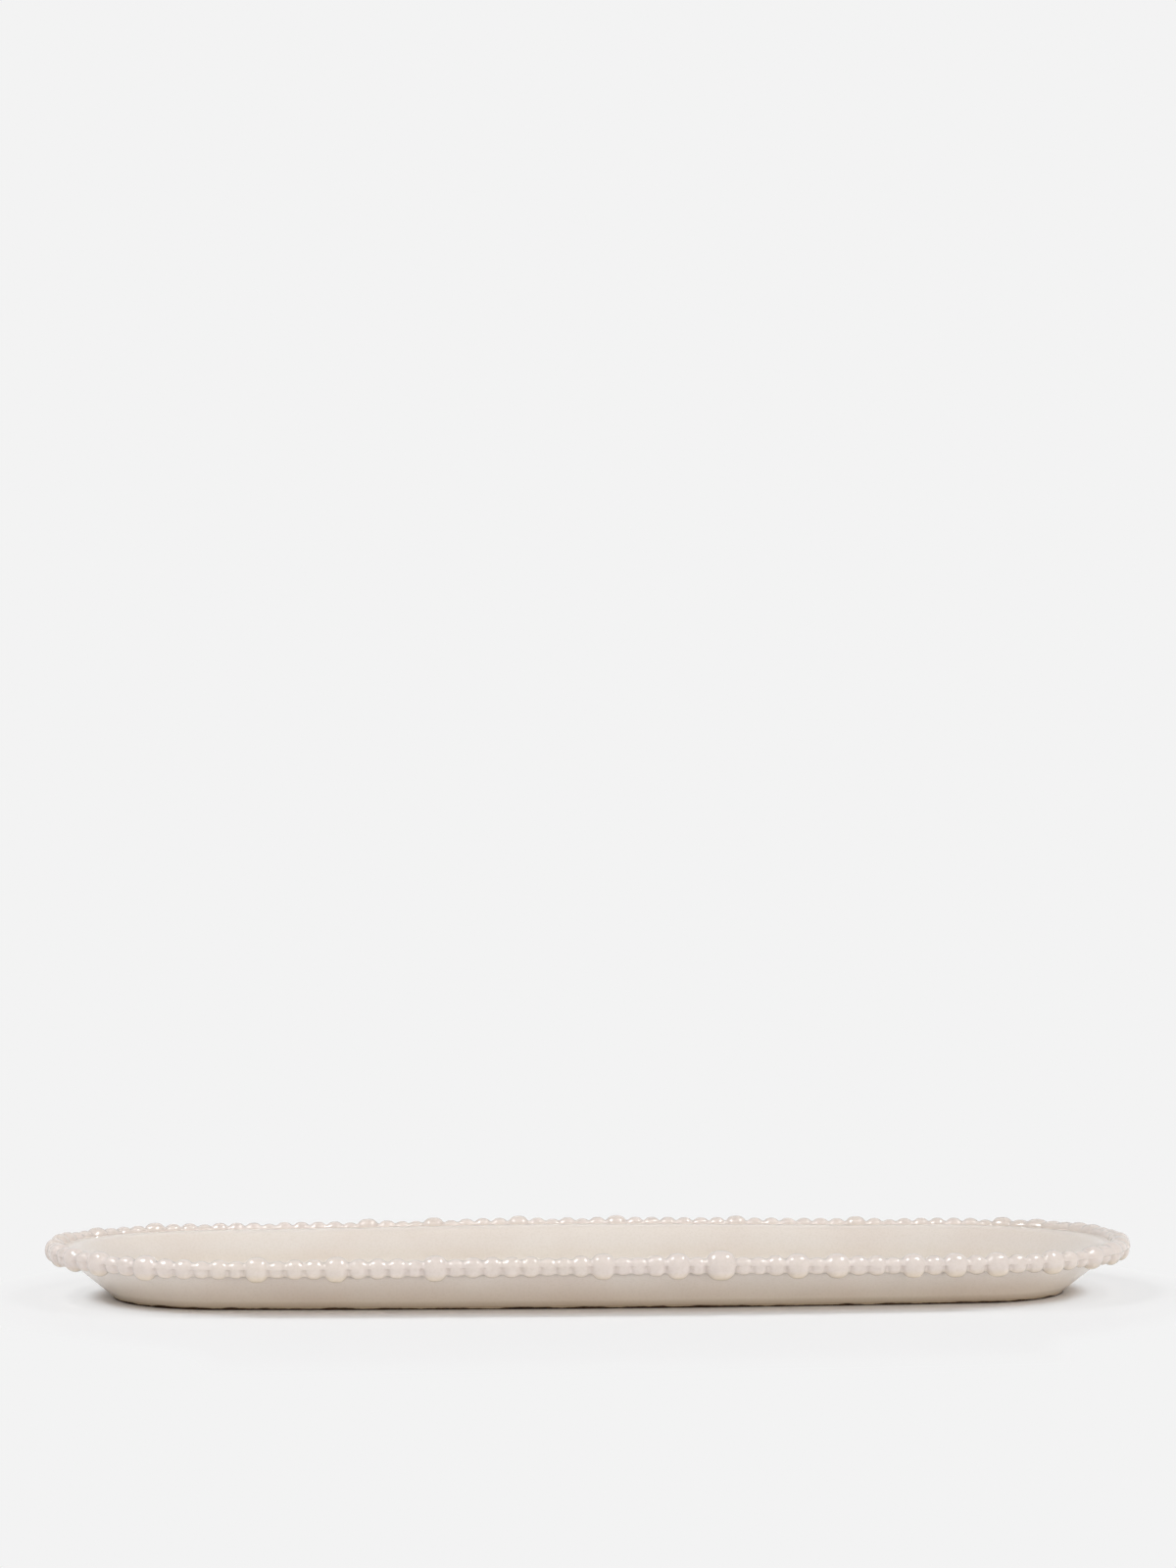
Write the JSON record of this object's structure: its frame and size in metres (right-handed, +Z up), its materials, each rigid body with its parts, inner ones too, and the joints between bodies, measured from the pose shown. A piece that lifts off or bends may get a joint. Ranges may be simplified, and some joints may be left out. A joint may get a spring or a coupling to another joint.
{
  "type": "asparagus plate",
  "caption": "Long shallow oval plate with sloping walls, a flat ledge and a border of pearls, for serving asparagus.",
  "frame": {"origin": "on the table, under the middle of the plate", "axes": "+X along the length, towards the tip on the right in the picture; +Y across, away from the viewer; +Z up"},
  "size_m": [0.4009, 0.1487, 0.0218],
  "materials": {
    "glaze": "glossy cream glaze",
    "pearl_glaze": "glossy cream glaze",
    "bare_clay": "unglazed matt clay"
  },
  "bodies": {
    "root": {"dish": "glaze", "foot_ring": "bare_clay", "small_pearls": "pearl_glaze", "medium_pearls": "pearl_glaze", "large_pearls": "pearl_glaze", "extra_large_pearls": "pearl_glaze"}
  },
  "joints": []
}
